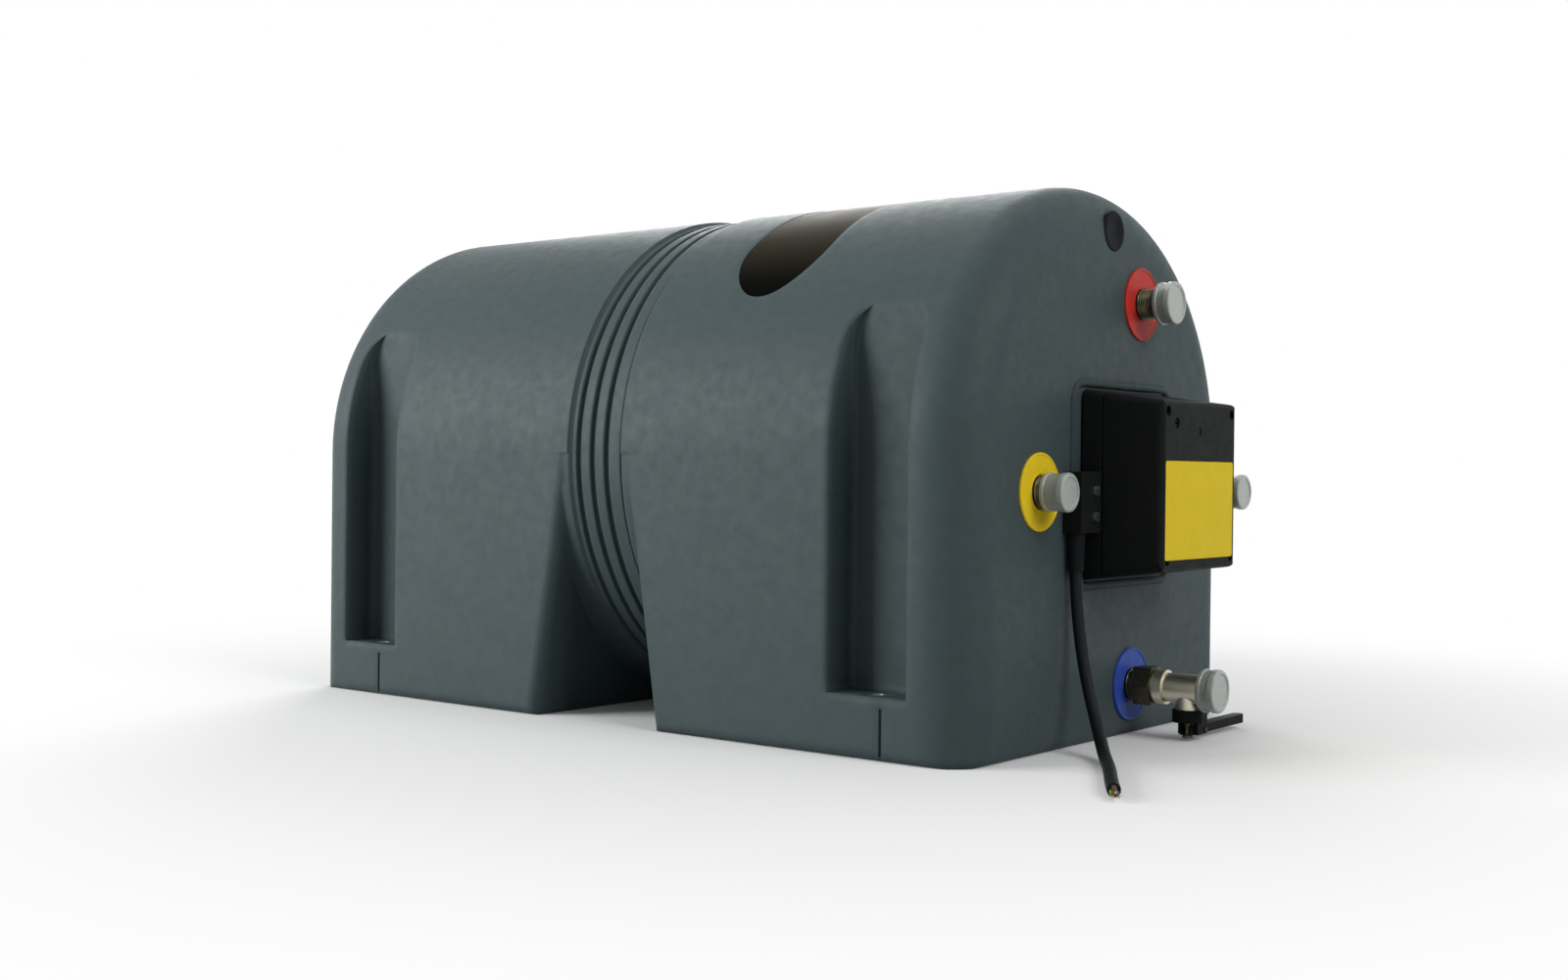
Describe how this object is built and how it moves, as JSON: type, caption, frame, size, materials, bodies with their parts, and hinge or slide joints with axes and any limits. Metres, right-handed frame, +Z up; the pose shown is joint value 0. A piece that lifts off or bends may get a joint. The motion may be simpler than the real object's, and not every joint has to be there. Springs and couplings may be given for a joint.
{
  "type": "caravan water heater",
  "caption": "Horizontal insulated water heater in a moulded casing with two feet, waist grooves, capped pipe fittings, safety valve and thermostat box with supply lead.",
  "frame": {"origin": "centre of the four foot bolts, on the floor", "axes": "+X along the casing to the fittings end, +Y to the far side of the picture, +Z up"},
  "size_m": [0.7831, 0.4172, 0.396],
  "materials": {
    "casing_front": "moulded, matt",
    "casing_rear": "moulded, matt",
    "foam_jacket": "moulded, matt",
    "tank_shell": "drawn sheet and bar",
    "tank_head_front": "drawn sheet and bar",
    "tank_head_rear": "drawn sheet and bar",
    "heating_coil": "drawn sheet and bar",
    "coolant_nipple_near": "machined",
    "coolant_nipple_far": "machined",
    "hot_nipple": "machined",
    "hot_pickup": "machined",
    "cold_pipe": "machined",
    "heater_socket": "drawn sheet and bar",
    "heater_plug": "machined",
    "heater_gasket": "matt black",
    "heating_element": "drawn sheet and bar",
    "sensor_pocket": "machined",
    "anode_rod": "cast rod",
    "thermostat": "moulded, matt",
    "terminal_block": "moulded, matt",
    "box_base": "moulded, matt",
    "box_gasket": "matt black",
    "box_cover": "moulded, matt",
    "box_plate": "moulded, matt",
    "cover_screws": "drawn sheet and bar",
    "adjuster": "moulded, matt",
    "reset_button": "moulded, matt",
    "lead_clamp": "moulded, matt",
    "clamp_screws": "drawn sheet and bar",
    "lead_sleeve": "matt black",
    "supply_lead": "matt black",
    "hot_ring": "moulded, matt",
    "cold_ring": "moulded, matt",
    "coolant_ring_near": "moulded, matt",
    "coolant_ring_far": "moulded, matt",
    "hot_cap": "smooth moulded",
    "cold_cap": "smooth moulded",
    "coolant_cap_near": "smooth moulded",
    "coolant_cap_far": "smooth moulded",
    "valve_nut": "nickel plated",
    "valve_body": "nickel plated",
    "relief_bonnet": "nickel plated",
    "relief_stem": "drawn sheet and bar",
    "relief_spring": "drawn sheet and bar",
    "relief_lever": "moulded, matt",
    "lever_pin": "drawn sheet and bar",
    "end_plug": "matt black",
    "badge_plate": "smooth moulded",
    "foot_bushes": "drawn sheet and bar"
  },
  "bodies": {
    "heater": {"casing_front": "casing_front", "casing_rear": "casing_rear", "foam_jacket": "foam_jacket", "tank_shell": "tank_shell", "tank_head_front": "tank_head_front", "tank_head_rear": "tank_head_rear", "heating_coil": "heating_coil", "coolant_nipple_near": "coolant_nipple_near", "coolant_nipple_far": "coolant_nipple_far", "hot_nipple": "hot_nipple", "hot_pickup": "hot_pickup", "cold_pipe": "cold_pipe", "heater_socket": "heater_socket", "heater_plug": "heater_plug", "heater_gasket": "heater_gasket", "heating_element": "heating_element", "sensor_pocket": "sensor_pocket", "anode_rod": "anode_rod", "thermostat": "thermostat", "terminal_block": "terminal_block", "box_base": "box_base", "box_gasket": "box_gasket", "box_cover": "box_cover", "box_plate": "box_plate", "cover_screws": "cover_screws", "lead_clamp": "lead_clamp", "clamp_screws": "clamp_screws", "lead_sleeve": "lead_sleeve", "supply_lead": "supply_lead", "hot_ring": "hot_ring", "cold_ring": "cold_ring", "coolant_ring_near": "coolant_ring_near", "coolant_ring_far": "coolant_ring_far", "valve_nut": "valve_nut", "valve_body": "valve_body", "relief_bonnet": "relief_bonnet", "relief_spring": "relief_spring", "lever_pin": "lever_pin", "end_plug": "end_plug", "badge_plate": "badge_plate", "foot_bushes": "foot_bushes"},
    "adjuster": {"adjuster": "adjuster"},
    "reset_button": {"reset_button": "reset_button"},
    "relief_lever": {"relief_lever": "relief_lever"},
    "relief_stem": {"relief_stem": "relief_stem"},
    "hot_cap": {"hot_cap": "hot_cap"},
    "cold_cap": {"cold_cap": "cold_cap"},
    "coolant_cap_near": {"coolant_cap_near": "coolant_cap_near"},
    "coolant_cap_far": {"coolant_cap_far": "coolant_cap_far"}
  },
  "joints": [
    {"name": "temperature_turn", "type": "hinge", "parent": "heater", "child": "adjuster", "pos_m": [0.38, -0.022, 0.225], "axis": [1, 0, 0], "range_deg": [0, 270]},
    {"name": "reset_press", "type": "slide", "parent": "heater", "child": "reset_button", "axis": [1, 0, 0], "range_m": [-0.0015, 0], "stiffness_N_per_m": 400, "springref_m": 0.002},
    {"name": "lever_lift", "type": "hinge", "parent": "heater", "child": "relief_lever", "pos_m": [0.376, 0.043, 0.0076], "axis": [1, 0, 0], "range_deg": [0, 8]},
    {"name": "stem_lift", "type": "slide", "parent": "heater", "child": "relief_stem", "axis": [0, 0, -1], "range_m": [0, 0.0022], "deforming": ["relief_spring"]},
    {"name": "hot_cap_pull", "type": "slide", "parent": "heater", "child": "hot_cap", "axis": [1, 0, 0], "range_m": [0, 0.03]},
    {"name": "cold_cap_pull", "type": "slide", "parent": "heater", "child": "cold_cap", "axis": [1, 0, 0], "range_m": [0, 0.03]},
    {"name": "coolant_cap_near_pull", "type": "slide", "parent": "heater", "child": "coolant_cap_near", "axis": [1, 0, 0], "range_m": [0, 0.03]},
    {"name": "coolant_cap_far_pull", "type": "slide", "parent": "heater", "child": "coolant_cap_far", "axis": [1, 0, 0], "range_m": [0, 0.03]}
  ],
  "couplings": [
    {"joint": "stem_lift", "follows": "lever_lift", "m_per_rad": 0.0149}
  ]
}
